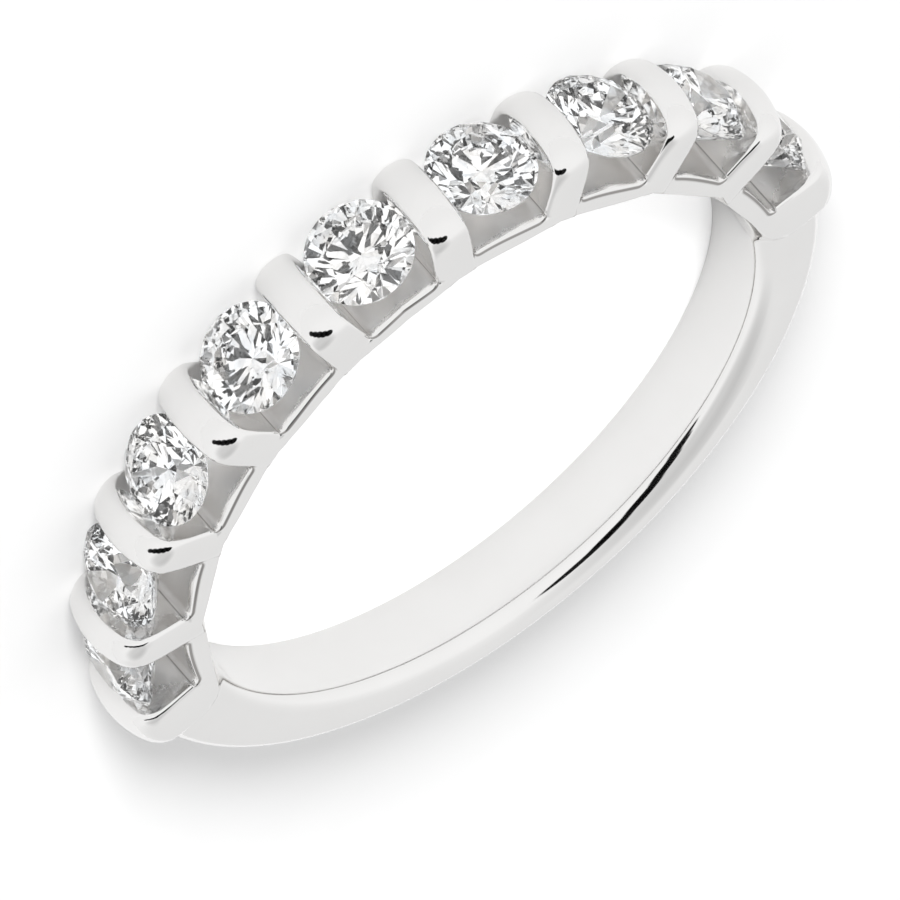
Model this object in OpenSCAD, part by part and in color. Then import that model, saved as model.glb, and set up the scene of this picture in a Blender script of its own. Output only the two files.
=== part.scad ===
// Bar set band: a polished white metal finger ring. Nine round brilliant cut
// stones stand in a row over the front half, and an upright bar of metal grips
// the girdle of each stone on either side. The row runs into a plain rounded
// shank at the back. All sizes are in millimetres.
//
// Frame: the centre of the finger hole is at the origin and the hole runs along
// Z. The middle stone faces -Y, and the ring lies on its side on its -Z edge.

/* [Finger hole and shank] */
// bore through the ring, its ring size
finger_diameter = 17.2; // [14:0.1:22]
// width of the shank along the finger
shank_width = 2.56; // [1.6:0.02:4]
// thickness of the shank at the very back, from the bore to its crown
shank_thickness = 1.5; // [1:0.05:2.5]
// how far the outer surface is shifted towards the stones, which thickens the shoulders
shank_shift = 0.9; // [0:0.05:1.5]
// radius of the two long outer edges of the shank
shank_corner_radius = 0.55; // [0.2:0.05:0.8]
// depth of those edges below the crown of the shank
shank_corner_depth = 0.75; // [0.3:0.05:1]
// width of the flat inside of the shank, between its two inner edges
shank_flat = 1.7; // [0.8:0.05:3]
// angle at which the side of the shank leaves the inner edge
shank_edge_angle = 22; // [5:1:40]

/* [Row of stones] */
// number of stones in the row
stone_count = 9; // [3:1:11]
// girdle diameter of each stone
stone_diameter = 2.8; // [1.5:0.05:4]
// angle round the finger from one stone to the next
stone_pitch = 20.4; // [12:0.1:40]
// distance from the middle of the bore to the girdle plane
girdle_radius = 10.54; // [9:0.01:13]
// table width as a part of the girdle diameter
table_part = 0.57; // [0.5:0.01:0.65]
// slope of the crown from the girdle plane
crown_angle = 34.5; // [25:0.5:40]
// slope of the pavilion from the girdle plane
pavilion_angle = 40.8; // [38:0.1:43]
// height of the girdle band itself
girdle_height = 0.07; // [0.02:0.01:0.2]

/* [Bars] */
// thickness of a bar between two stones
bar_thickness = 1.15; // [0.6:0.05:2]
// length of a bar along the finger, at its widest
bar_length = 2.8; // [1.5:0.02:4]
// distance from the middle of the bore to the top of a bar
bar_top_radius = 11.35; // [9.5:0.05:14]
// radius of the arch that the top of a bar follows along its length
bar_arch_radius = 2.5; // [2:0.1:8]
// radius with which a bar turns down at each end
bar_shoulder_radius = 0.8; // [0.3:0.05:1]
// radius of the long edges of a bar
bar_edge_radius = 0.28; // [0.05:0.01:0.5]
// depth of those edges below the crown of the bar
bar_edge_depth = 0.37; // [0.1:0.01:0.6]
// thickness of the wall at each end of the row
end_wall_thickness = 1.7; // [0.8:0.05:2.5]
// extra angle by which the end walls stand away from the outer stones
end_wall_shift = 1.5; // [0:0.1:4]

/* [Rails] */
// thickness of the rail under the stones, from the bore to its floor
rail_thickness = 0.62; // [0.4:0.02:1.2]
// width of the rail along the finger, less than the bars
rail_width = 2.62; // [1.5:0.02:4]
// fillet between a bar and the floor of the rail
foot_fillet = 0.3; // [0.1:0.05:0.6]
// distance from the bore, in the middle of a bay, to the filed inner edge
edge_reach = 0.02; // [0:0.01:0.2]
// slope of the flat bevel at the inner edge of each bay
edge_slope = 50; // [30:1:70]
// bevel along the two rims of each bay's floor
rim_bevel = 0.07; // [0.02:0.01:0.2]

/* [Seats] */
// clearance between a stone and the groove that holds it
seat_clearance = 0.02; // [0.01:0.005:0.06]

/* [Hidden] */
$fn = 48;
bore_radius = finger_diameter / 2;
stone_radius = stone_diameter / 2;
bay_half_angle = stone_pitch / 2;
middle_stone = (stone_count + 1) / 2;
end_wall_angle = stone_pitch * stone_count / 2 + end_wall_shift;
floor_radius = bore_radius + rail_thickness;
crown_height = stone_radius * (1 - table_part) * tan(crown_angle);
pavilion_depth = stone_radius * tan(pavilion_angle);
// a length that reaches past everything it cuts
past = 4;

// turns what is built at the front of the ring by an angle round the finger
module at_angle(angle) {
    rotate([0, 0, angle]) children();
}

// rounded end of an outline that points along +X: a crown arc that ends at
// x = reach and runs over into two corner arcs, whose centres are given
module crowned_cap(reach, corner_x, corner_y, corner) {
    rise = reach - corner_x;
    arc = (rise * rise + corner_y * corner_y - corner * corner) / (2 * (rise - corner));
    centre = reach - arc;
    turn = atan2(corner_y, corner_x - centre);
    far = 2 * arc;
    intersection() {
        translate([centre, 0]) circle(arc);
        polygon([
            [centre, 0],
            [centre + far * cos(turn), far * sin(turn)],
            [centre + far, far * sin(turn)],
            [centre + far, -far * sin(turn)],
            [centre + far * cos(turn), -far * sin(turn)]
        ]);
    }
    for (side = [-1, 1])
        translate([corner_x, side * corner_y]) circle(corner);
    polygon([[centre, 0], [corner_x, corner_y], [corner_x, -corner_y]]);
}

// sides of the shank, X away from the middle of the bore: a round on either
// side, which the bore cuts where the flat inside of the shank ends
module shank_sides() {
    overhang = (shank_width - shank_flat) / 2;
    side_radius = overhang / (1 - sin(shank_edge_angle));
    side_x = bore_radius + side_radius * cos(shank_edge_angle);
    side_y = shank_width / 2 - side_radius;
    for (side = [-1, 1])
        translate([side_x, side * side_y]) circle(side_radius);
    translate([bore_radius - 0.3, -side_y])
        square([side_x - bore_radius + 0.3, 2 * side_y]);
    translate([side_x, -shank_width / 2])
        square([past, shank_width]);
}

// crown of the shank, X away from the middle of its outer surface
module shank_crown() {
    reach = bore_radius + shank_thickness + shank_shift;
    corner_x = reach - shank_corner_depth;
    crowned_cap(reach, corner_x, shank_width / 2 - shank_corner_radius, shank_corner_radius);
    translate([corner_x - 3, -shank_width / 2])
        square([3, shank_width]);
}

// plain back of the ring, from the middle of one end wall to the other: its
// crown runs round a point nearer the stones, so it grows thicker towards them
module shank() {
    intersection() {
        rotate([0, 0, end_wall_angle - 90])
            rotate_extrude(angle = 360 - 2 * end_wall_angle, $fn = 180)
                shank_sides();
        translate([0, -shank_shift, 0])
            rotate_extrude($fn = 180)
                shank_crown();
    }
}

// outline across the thickness of a bar, X away from the centre of an arc
module bar_section(reach, thickness, depth) {
    intersection() {
        union() {
            crowned_cap(
                reach, reach - bar_edge_depth, thickness / 2 - bar_edge_radius, bar_edge_radius
            );
            translate([reach - depth, -thickness / 2])
                square([depth - bar_edge_depth, thickness]);
        }
        translate([reach - depth, -thickness])
            square([depth + 1, 2 * thickness]);
    }
}

// turns what runs round Z so that it runs round the line across a bar. An angle
// of 0 then points along -Z, 90 away from the bore and 180 along +Z.
module across(from, to) {
    rotate([0, 90, 0])
        rotate([0, 0, from])
            rotate_extrude(angle = to - from, $fn = 96)
                children();
}

// upright bar, Y away from the middle of the bore and Z along the finger: an
// arch on top, a shoulder at each end and a straight web down to the bore
module bar(thickness) {
    shoulder_z = bar_length / 2 - bar_shoulder_radius;
    swing = bar_arch_radius - bar_shoulder_radius;
    arch_y = bar_top_radius - bar_arch_radius;
    shoulder_y = arch_y + sqrt(swing * swing - shoulder_z * shoulder_z);
    lean = asin(shoulder_z / swing);
    foot_y = bore_radius * cos(bay_half_angle) - 0.3;
    translate([0, arch_y, 0])
        across(90 - lean, 90 + lean)
            bar_section(bar_arch_radius, thickness, 1);
    for (end = [0, 1])
        mirror([0, 0, end])
            translate([0, shoulder_y, shoulder_z])
                across(90 + lean, 180)
                    bar_section(bar_shoulder_radius, thickness, bar_shoulder_radius);
    translate([0, foot_y, 0])
        rotate([-90, 0, 0])
            linear_extrude(shoulder_y - foot_y)
                for (side = [-1, 1])
                    rotate([0, 0, side * 90])
                        bar_section(bar_length / 2, thickness, bar_length / 2);
}

// concave fillet where one side of a bar stands on the floor of the rail
module foot_fillet_at(thickness) {
    reach = thickness / 2 + foot_fillet;
    floor_y = sqrt(floor_radius * floor_radius - reach * reach);
    length = rail_width - 2 * rim_bevel;
    translate([0, 0, -length / 2])
        linear_extrude(length)
            difference() {
                translate([0, floor_y - 0.3])
                    square([reach, foot_fillet + 0.3]);
                translate([reach, floor_y + foot_fillet])
                    circle(foot_fillet);
            }
}

// bar at an angle round the finger, with a fillet on each of the sides named
module standing_bar(angle, thickness, fillet_sides) {
    at_angle(angle)
        rotate([0, 0, 180]) {
            bar(thickness);
            for (side = fillet_sides)
                mirror([side < 0 ? 1 : 0, 0, 0])
                    foot_fillet_at(thickness);
        }
}

// ring of metal below the stones
module rail() {
    half = rail_width / 2;
    rotate([0, 0, -90 - end_wall_angle])
        rotate_extrude(angle = 2 * end_wall_angle, $fn = 180)
            polygon([
                [bore_radius - 0.2, -half],
                [floor_radius - rim_bevel, -half],
                [floor_radius, -half + rim_bevel],
                [floor_radius, half - rim_bevel],
                [floor_radius - rim_bevel, half],
                [bore_radius - 0.2, half]
            ]);
}

// flat bevels along the inner edge of one bay, bounded by its own sector
module bay_bevels() {
    inner = bore_radius - 1;
    outer = bore_radius + 1;
    slope = tan(edge_slope);
    line_x = bore_radius + edge_reach;
    // neighbouring sectors overlap a little, so that nothing stays between them
    half_tan = tan(bay_half_angle + 0.1);
    intersection() {
        translate([0, 0, -past / 2])
            linear_extrude(past)
                polygon([
                    [-inner * half_tan, -inner],
                    [inner * half_tan, -inner],
                    [outer * half_tan, -outer],
                    [-outer * half_tan, -outer]
                ]);
        for (end = [0, 1])
            mirror([0, 0, end])
                translate([past / 2, 0, 0])
                    rotate([0, -90, 0])
                        linear_extrude(past)
                            polygon([
                                [rail_width / 2 - (line_x - inner) * slope, -inner],
                                [rail_width / 2 + (outer - line_x) * slope, -outer],
                                [rail_width / 2 + (outer - line_x) * slope, -inner]
                            ]);
    }
}

// groove for one stone: its own outline grown by the seat clearance, Z outward
module seat() {
    grown = stone_radius + seat_clearance;
    half = girdle_height / 2 + seat_clearance;
    rotate_extrude($fn = 96)
        polygon([
            [0, -half - grown * tan(pavilion_angle)],
            [grown, -half],
            [grown, half],
            [0, half + grown * tan(crown_angle)]
        ]);
}

// puts what is built with Z outward on the girdle plane of one stone
module at_stone(number) {
    at_angle((middle_stone - number) * stone_pitch)
        translate([0, -girdle_radius, 0])
            rotate([90, 0, 0])
                children();
}

// all of the metal: the shank, the rails and the bars are one soldered piece
module band() {
    color([0.86, 0.86, 0.87])
        difference() {
            union() {
                shank();
                rail();
                for (number = [1 : stone_count - 1])
                    standing_bar(
                        (middle_stone - number - 0.5) * stone_pitch, bar_thickness, [-1, 1]
                    );
                for (side = [-1, 1])
                    standing_bar(side * end_wall_angle, end_wall_thickness, [side]);
            }
            cylinder(h = past, r = bore_radius, center = true, $fn = 180);
            for (number = [1 : stone_count]) {
                at_angle((middle_stone - number) * stone_pitch) bay_bevels();
                at_stone(number) seat();
            }
        }
}

// one round brilliant cut stone, table towards +Z, girdle plane at z = 0
module brilliant() {
    half = girdle_height / 2;
    table_radius = stone_radius * table_part;
    slope_run = stone_radius - table_radius;
    star_x = table_radius * cos(22.5) + 0.5 * (stone_radius - table_radius * cos(22.5));
    star_z = half + crown_height * (stone_radius - star_x) / slope_run;
    star_radius = star_x / cos(22.5);
    lower_radius = 0.23 * stone_radius;
    lower_z = -half - pavilion_depth * (1 - lower_radius * cos(22.5) / stone_radius);
    // rings of points from the table down to the culet
    table = [for (i = [0 : 7]) [
        table_radius * cos(45 * i), table_radius * sin(45 * i), half + crown_height
    ]];
    stars = [for (i = [0 : 7]) [
        star_radius * cos(45 * i + 22.5), star_radius * sin(45 * i + 22.5), star_z
    ]];
    upper = [for (i = [0 : 15]) [
        stone_radius * cos(22.5 * i), stone_radius * sin(22.5 * i), half
    ]];
    lower = [for (i = [0 : 15]) [
        stone_radius * cos(22.5 * i), stone_radius * sin(22.5 * i), -half
    ]];
    mains = [for (i = [0 : 7]) [
        lower_radius * cos(45 * i + 22.5), lower_radius * sin(45 * i + 22.5), lower_z
    ]];
    culet = [[0, 0, -half - pavilion_depth]];
    points = concat(table, stars, upper, lower, mains, culet);
    // where each ring starts in the list of points
    s = 8;
    u = 16;
    l = 32;
    m = 48;
    c = 56;
    faces = concat(
        [[7, 6, 5, 4, 3, 2, 1, 0]],
        [for (i = [0 : 7]) [i, (i + 1) % 8, s + i]],
        [for (i = [0 : 7]) [i, s + i, u + 2 * i]],
        [for (i = [0 : 7]) [(i + 1) % 8, u + (2 * i + 2) % 16, s + i]],
        [for (i = [0 : 7]) [s + i, u + 2 * i + 1, u + 2 * i]],
        [for (i = [0 : 7]) [s + i, u + (2 * i + 2) % 16, u + 2 * i + 1]],
        [for (i = [0 : 15]) [u + i, u + (i + 1) % 16, l + (i + 1) % 16]],
        [for (i = [0 : 15]) [u + i, l + (i + 1) % 16, l + i]],
        [for (i = [0 : 7]) [m + i, l + 2 * i, l + 2 * i + 1]],
        [for (i = [0 : 7]) [m + i, l + 2 * i + 1, l + (2 * i + 2) % 16]],
        [for (i = [0 : 7]) [c, l + 2 * i, m + i]],
        [for (i = [0 : 7]) [c, m + i, l + (2 * i + 2) % 16]]
    );
    polyhedron(points, faces);
}

module stone(number) {
    color([0.93, 0.96, 1, 0.6])
        at_stone(number)
            brilliant();
}
module stone_1() {
    stone(1);
}
module stone_2() {
    stone(2);
}
module stone_3() {
    stone(3);
}
module stone_4() {
    stone(4);
}
module stone_5() {
    stone(5);
}
module stone_6() {
    stone(6);
}
module stone_7() {
    stone(7);
}
module stone_8() {
    stone(8);
}
module stone_9() {
    stone(9);
}

band();
stone_1();
stone_2();
stone_3();
stone_4();
stone_5();
stone_6();
stone_7();
stone_8();
stone_9();
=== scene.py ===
"""Looks of the bar set band: a polished white metal ring with nine round brilliant cut stones.

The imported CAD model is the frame. The band's surface and the cut stones are made again here as
finer meshes on the same sizes, and a floor, a studio and a camera are put round them. Sizes are
in millimetres until a mesh is written, and Blender works in metres.
"""

import logging
import math
from collections.abc import Iterator, Sequence
from dataclasses import dataclass, field
from enum import Enum

import bmesh
import bpy
import numpy as np
from mathutils import Matrix, Vector

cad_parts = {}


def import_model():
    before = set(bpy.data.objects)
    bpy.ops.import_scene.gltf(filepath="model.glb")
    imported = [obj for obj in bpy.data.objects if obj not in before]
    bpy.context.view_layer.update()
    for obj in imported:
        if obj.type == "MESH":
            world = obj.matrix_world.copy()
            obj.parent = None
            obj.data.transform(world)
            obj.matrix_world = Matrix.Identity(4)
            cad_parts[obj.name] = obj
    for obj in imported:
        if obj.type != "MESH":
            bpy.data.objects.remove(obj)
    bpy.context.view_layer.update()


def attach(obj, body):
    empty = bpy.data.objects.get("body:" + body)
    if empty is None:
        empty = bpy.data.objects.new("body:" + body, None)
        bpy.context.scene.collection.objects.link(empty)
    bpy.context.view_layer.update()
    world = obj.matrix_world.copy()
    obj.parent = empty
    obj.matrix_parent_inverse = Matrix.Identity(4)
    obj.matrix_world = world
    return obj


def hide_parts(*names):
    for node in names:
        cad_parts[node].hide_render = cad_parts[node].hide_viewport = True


log = logging.getLogger("bar_set_band")
MM = 0.001
# least sine or cosine that a distance is divided by, and the distance given to a line that isn't met
LEAST_SLANT = 0.02
FAR = 50.0
Array = np.ndarray
Triple = tuple[float, float, float]


def smooth_step(x: Array | float, low: float, high: float) -> Array:
    """Returns 3u^2 - 2u^3 with u = (x - low) / (high - low) held between 0 and 1."""
    u = np.clip((np.asarray(x, float) - low) / (high - low), 0.0, 1.0)
    return u * u * (3.0 - 2.0 * u)


def soft_max(a: Array, b: Array, width: float) -> Array:
    """Returns (a + b + sqrt((a - b)^2 + width^2)) / 2, the larger value with a rounded change."""
    return 0.5 * (a + b + np.sqrt((a - b) ** 2 + width * width))


def ray_to_circle(phi: Array, y: Array | float, z: Array | float, radius: Array | float) -> Array:
    """Distance from the origin to the far side of a circle.

    With u = (cos phi, sin phi) and the centre k = (y, z), it is u.k + sqrt((u.k)^2 - k.k + R^2).

    Args:
        phi: Direction of each ray, in radians from the y axis.
        y: First coordinate of the circle's centre.
        z: Second coordinate of the circle's centre.
        radius: Radius of the circle.

    Returns:
        The distance along each ray.
    """
    along = np.cos(phi) * y + np.sin(phi) * z
    return along + np.sqrt(np.maximum(along**2 - y**2 - z**2 + radius**2, 0.0))


def ray_to_line(
    phi: Array, y: Array | float, z: Array | float, normal_y: Array | float, normal_z: Array | float
) -> Array:
    """Distance from the origin to a line.

    It is n.p / n.u, for a line through p = (y, z) with the outward normal n.

    Args:
        phi: Direction of each ray, in radians from the y axis.
        y: First coordinate of a point of the line.
        z: Second coordinate of that point.
        normal_y: First part of the line's outward normal.
        normal_z: Second part of it.

    Returns:
        The distance along each ray, or FAR where the ray runs away from the line.
    """
    facing = normal_y * np.cos(phi) + normal_z * np.sin(phi)
    reach = (normal_y * y + normal_z * z) / np.maximum(facing, LEAST_SLANT)
    return np.where(facing > LEAST_SLANT, reach, FAR)


def ray_to_side(phi: Array, half_width: Array | float) -> Array:
    """Returns w / sin(phi), the distance from the origin to a flat side at z = w."""
    return half_width / np.maximum(np.sin(phi), LEAST_SLANT)


def new_mesh(
    name: str,
    points: Array,
    faces: Sequence[Sequence[int]],
    smooth: bool,
    masks: dict[str, Array] | None = None,
) -> bpy.types.Object:
    """Puts points and faces into an object at the origin.

    Args:
        name: Name of the object and its mesh.
        points: Corner points in millimetres, one row each.
        faces: Corner numbers of each face, turning left seen from outside.
        smooth: True for smooth shading and False for flat facets.
        masks: Values between 0 and 1 at the points, by the name of their attribute.

    Returns:
        The new object, linked to the scene.
    """
    mesh = bpy.data.meshes.new(name)
    mesh.from_pydata((points * MM).tolist(), [], [list(map(int, f)) for f in faces])
    mesh.polygons.foreach_set("use_smooth", [smooth] * len(mesh.polygons))
    for label, values in (masks or {}).items():
        mask = mesh.attributes.new(label, "FLOAT", "POINT")
        mask.data.foreach_set("value", np.ascontiguousarray(values, np.float32).ravel())
    mesh.update()
    made = bpy.data.objects.new(name, mesh)
    bpy.context.scene.collection.objects.link(made)
    return made


@dataclass(frozen=True)
class Cap:
    """Crowned end of an outline: a crown arc that runs over into a corner arc on either side."""

    half_width: float
    corner: float
    depth: float

    @property
    def corner_y(self) -> float:
        """Distance of each corner arc's centre from the middle."""
        return self.half_width - self.corner

    @property
    def arc(self) -> float:
        """Radius of the crown arc."""
        rise = self.depth
        return (rise**2 + self.corner_y**2 - self.corner**2) / (2.0 * (rise - self.corner))

    @property
    def turn(self) -> float:
        """Angle, in radians, from the middle of the crown arc to where a corner arc begins."""
        return math.atan2(self.corner_y, self.arc - self.depth)

    def half_profile(self, crown_steps: int, corner_steps: int) -> Iterator[tuple[float, float]]:
        """Walks from the middle of the cap to its side.

        On the crown the offset is R sin(a) and the depth R (1 - cos a). On the corner they are
        c + r sin(a) and depth - r cos(a).

        Args:
            crown_steps: Number of steps over half the crown arc.
            corner_steps: Number of steps over the corner arc.

        Yields:
            The offset from the middle and the depth below the crown.
        """
        for a in np.linspace(0.0, self.turn, crown_steps, endpoint=False):
            yield self.arc * math.sin(a), self.arc * (1.0 - math.cos(a))
        for a in np.linspace(self.turn, math.pi / 2, corner_steps + 1):
            yield self.corner_y + self.corner * math.sin(a), self.depth - self.corner * math.cos(a)


@dataclass(frozen=True)
class RingSizes:
    """Sizes that the band and its stones share."""

    bore_radius: float = 8.6
    stone_pitch: float = 20.4
    stone_count: int = 9
    girdle_radius: float = 10.54
    stone_diameter: float = 2.8
    end_wall_shift: float = 1.5

    def stone_angle(self, number: int) -> float:
        """Angle of a stone round the finger, in degrees from the middle stone towards +X."""
        return ((self.stone_count + 1) / 2 - number) * self.stone_pitch

    @property
    def end_wall_angle(self) -> float:
        """Angle of the end walls from the middle stone, in degrees."""
        return self.stone_pitch * self.stone_count / 2 + self.end_wall_shift


@dataclass
class Row:
    """One cut through the band, in a plane beside a post that leans by t = offset + lean * y.

    Attributes:
        post: Angle round the finger of the bar or wall that the cut belongs to, in degrees.
        side: 1 on the side of growing angles and -1 on the other.
        offset: Distance of the plane from the post's own plane at the middle of the ring.
        lean: Growth of that distance for each millimetre outwards.
        inset: Depth of the bar's outline below the one in its middle.
        has_bar: True where the cut goes through a bar or a wall.
        rise: Height of the bay's floor above the rail.
        flank: Half width of the rail.
        to_stone: Angle from the post to the stone beside it, in degrees.
        away: True on the side of an end wall that faces the shank.
        plain: 0 for the section of the row and 1 for the one of the shank.
        wall: Part of the way down a post's side, for a cut that is laid between its neighbours.
    """

    post: float
    side: int = 1
    offset: float = 0.0
    lean: float = 0.0
    inset: float = 0.0
    has_bar: bool = False
    rise: float = 0.0
    flank: float = 1.31
    to_stone: float = 0.0
    away: bool = False
    plain: float = 0.0
    wall: float = math.nan

    @property
    def in_bay(self) -> bool:
        """True for a cut through a bay, clear of the bars and of the shank."""
        return not self.has_bar and self.plain < 0.5


def column(rows: list[Row], name: str) -> Array:
    """Returns one value of all rows as an array with one line a row."""
    return np.array([float(getattr(row, name)) for row in rows])[:, None]


class Finish(Enum):
    """Named finishes of the pieces."""

    POLISHED = "polished_white_metal"
    CLEAR = "clear_stone"
    GIRDLE = "ground_girdle"
    PAPER = "pale_paper"


class Change(Enum):
    """Ways in which one value runs over into another."""

    EVEN = "LINEAR"
    SOFT = "SMOOTHSTEP"


@dataclass(frozen=True)
class Arc:
    """Circle that a cut's outline follows for a stretch: its centre and its radius."""

    y: Array | float
    z: Array | float
    radius: Array | float


@dataclass
class Band:
    """All of the metal as one closed surface: rows of cuts round the finger, each of them a loop.

    Angles are in degrees, but for end_face_low and end_face_high, in radians. The stretches of
    a cut, whose numbers of steps are in steps, run over a bar's arch, shoulder and end face or
    over a bay's floor, and then over the rim's bevel, the flank, the filed edge and the bore. An
    edge gets a point on either side at the distance polish, and edge_reach is how far from the
    heart the edges lie. side_marks are parts of the way along the shank's side.
    """

    sizes: RingSizes = field(default_factory=RingSizes)
    heart: float = 8.95
    rail_radius: float = 9.22
    rim_bevel: float = 0.07
    filed_line: float = 8.62
    filed_slope: float = 50.0
    filed_from: float = 1.31
    flank_low: float = 1.3
    flank_high: float = 1.385
    foot_fillet: float = 0.2
    foot_gap: float = 0.012
    foot_part: float = 0.04
    bar_length: float = 2.8
    bar_top: float = 11.35
    bar_blend: float = 0.02
    arch_radius: float = 2.5
    shoulder_radius: float = 0.8
    end_face_flatness: float = 0.6
    end_face_low: float = 0.3
    end_face_high: float = 0.9
    bar_cap: Cap = Cap(0.575, 0.28, 0.37)
    wall_cap: Cap = Cap(0.85, 0.28, 0.37)
    wall_gap: float = 0.03
    wall_spacing: float = 0.003
    shank_cap: Cap = Cap(1.28, 0.55, 0.75)
    shank_thickness: float = 1.5
    shank_shift: float = 0.9
    shank_flat: float = 1.7
    shank_edge_angle: float = 22.0
    shank_edge_radius: float = 0.52
    shank_edge_turn: float = 60.0
    shank_gap: float = 0.4
    shank_step: float = 2.0
    side_marks: tuple[float, float] = (0.45, 0.8)
    row_radius: float = 10.9
    polish: float = 0.014
    edge_reach: float = 0.75
    fade_columns: int = 2
    # where the thin lines of painted shade lie: columns under a bay's rim, and parts of a foot
    # fillet's rise
    crease_columns: int = 3
    crease_low: float = 0.6
    crease_high: float = 0.9
    steps: tuple[int, ...] = (6, 8, 7, 1, 5, 5, 5)
    first_edge: int = 3
    crown_steps: int = 5
    corner_steps: int = 7
    wall_steps: int = 4
    foot_steps: int = 6
    bay_steps: int = 9

    @property
    def floor_columns(self) -> int:
        """Number of points of half a cut that lie on top of the metal."""
        return self.steps[0] + self.steps[1] + self.steps[2] + 1

    def post_half(self, post: float, side: int, cap: Cap, to_stone: float, away: bool) -> list[Row]:
        """Rows from the middle of a bar or end wall outwards to the middle of the bay beside it.

        Args:
            post: Angle of the bar or wall round the finger, in degrees.
            side: 1 towards growing angles and -1 the other way.
            cap: Outline of the bar across its thickness.
            to_stone: Angle from the post to the stone beside it, in degrees.
            away: True on the side of an end wall that faces the shank.

        Returns:
            The rows, the nearest to the middle of the post first.
        """
        half = cap.half_width
        outward = post * side > 0
        middle = 0.5 * (self.flank_low + self.flank_high)

        def flank(part: float) -> float:
            """Half width of the rail at a part of the way from this post to the bay's middle."""
            grown = float(smooth_step(part / 2 if outward else 1.0 - part / 2, 0.0, 1.0))
            return self.flank_low + (self.flank_high - self.flank_low) * grown

        rows = []
        for t, depth in cap.half_profile(self.crown_steps, self.corner_steps):
            blend = float(smooth_step(t, 0.0, half))
            rows.append(
                Row(
                    post, side, t, inset=depth, has_bar=True, to_stone=to_stone, away=away,
                    flank=middle + (flank(0.0) - middle) * blend,
                    plain=blend if away else 0.0,
                )
            )
        for n in range(1, self.wall_steps):
            offset = half + self.wall_spacing * n
            rows.append(Row(post, side, offset, wall=n / self.wall_steps, plain=float(away)))
        if away:
            offset = half + self.wall_gap
            rows.append(Row(post, side, offset, to_stone=to_stone, away=True, plain=1.0))
            return rows
        for n in range(self.foot_steps + 1):
            a = math.pi / 2 * n / self.foot_steps
            rows.append(
                Row(
                    post, side, half + self.foot_gap + self.foot_fillet * (1.0 - math.cos(a)),
                    rise=self.foot_fillet * (1.0 - math.sin(a)), to_stone=to_stone,
                    flank=flank(self.foot_part * n / self.foot_steps), inset=cap.depth,
                )
            )
        start = half + self.foot_gap + self.foot_fillet
        for n in range(1, self.bay_steps + 1):
            w = n / self.bay_steps
            rows.append(
                Row(
                    post, side, (1.0 - w) * start, w * math.tan(math.radians(to_stone)),
                    to_stone=to_stone, inset=cap.depth,
                    flank=flank(self.foot_part + (1.0 - self.foot_part) * w),
                )
            )
        return rows

    def all_rows(self) -> list[Row]:
        """Lists the rows of the whole ring.

        Returns:
            The rows, in the order of growing angle.
        """
        wall = self.sizes.end_wall_angle
        near = self.sizes.stone_pitch / 2
        far = near + self.sizes.end_wall_shift
        bars = [self.sizes.stone_angle(n) - near for n in range(self.sizes.stone_count - 1, 0, -1)]
        posts = [(angle, self.bar_cap, near) for angle in bars]
        posts = [(-wall, self.wall_cap, far), *posts, (wall, self.wall_cap, far)]
        rows: list[Row] = []
        for post, cap, to_stone in posts:
            first = post == -wall
            left = self.post_half(post, -1, cap, to_stone, first)
            right = self.post_half(post, 1, cap, to_stone, post == wall)
            left = left if first else left[:-1]
            rows += left[:0:-1] + right
        span = 360.0 - 2.0 * wall
        wall_edge = self.wall_cap.half_width + self.wall_gap
        lead = math.degrees(math.atan2(wall_edge, self.sizes.bore_radius)) + self.shank_gap
        for angle in np.linspace(lead, span - lead, int(span / self.shank_step)):
            rows.append(Row(wall + float(angle), plain=1.0, inset=self.bar_cap.depth))
        return rows

    def points(self) -> Array:
        """Places every cut round the finger.

        A cut's point (t, y, z) with t = offset + lean y is turned by the post's angle a:
        X = t cos a + y sin a and Y = t sin a - y cos a. A cut on a post's side, whose wall value
        is known, is laid between the last cut before it and the next one after it.

        Returns:
            An array of rows by columns by 3, in millimetres.
        """
        rows = self.all_rows()
        y, z = Cuts(self, rows).outlines()
        # the other half of each loop is its mirror image
        y = np.hstack([y, y[:, -2:0:-1]])
        z = np.hstack([z, -z[:, -2:0:-1]])
        post = np.radians(column(rows, "post"))
        t = column(rows, "side") * (column(rows, "offset") + column(rows, "lean") * y)
        grid = np.stack(
            [t * np.cos(post) + y * np.sin(post), t * np.sin(post) - y * np.cos(post), z], axis=-1
        )
        known = np.flatnonzero(np.isnan(column(rows, "wall")))
        part = np.interp(np.arange(len(rows)), known, np.arange(len(known)))
        low = np.floor(part).astype(int)
        high = np.minimum(low + 1, len(known) - 1)
        f = (part - low)[:, None, None]
        return grid[known[low]] * (1.0 - f) + grid[known[high]] * f

    @staticmethod
    def from_top(columns: int) -> Array:
        """Number of each point of a loop, counted from the top of the metal down either side."""
        return np.minimum(np.arange(columns), columns - np.arange(columns))[None, :]

    # the material makes these recesses satin, and also paints them paler, which is painted light
    def recess(self, columns: int) -> Array:
        """Where the polishing wheel hardly reaches: the floor of each bay and the walls beside it.

        Args:
            columns: Number of points round each cut.

        Returns:
            1 in a recess, falling to 0 up its walls and at its rim, for every row and column.
        """
        rows = self.all_rows()
        wall = np.nan_to_num(column(rows, "wall"), nan=1.0)
        last = self.floor_columns
        upward = 1.0 - smooth_step(self.from_top(columns), last - self.fade_columns, last)
        return wall * column(rows, "in_bay") * upward

    def painted_shade_lines(self, columns: int) -> Array:
        """Where shade is painted on as a thin dark line: at each bar's foot and under each bay's
        rim.

        Args:
            columns: Number of points round each cut.

        Returns:
            1 where painted shade lies and 0 elsewhere, for every row and column.
        """
        rows = self.all_rows()
        climb = column(rows, "rise") / self.foot_fillet
        foot = (climb > self.crease_low) & (climb < self.crease_high)
        below = self.from_top(columns) - self.floor_columns
        rim = (below > 0) & (below < self.crease_columns)
        return 1.0 * ((foot & (below < 0)) | ((column(rows, "in_bay") > 0.5) & rim))

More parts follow.
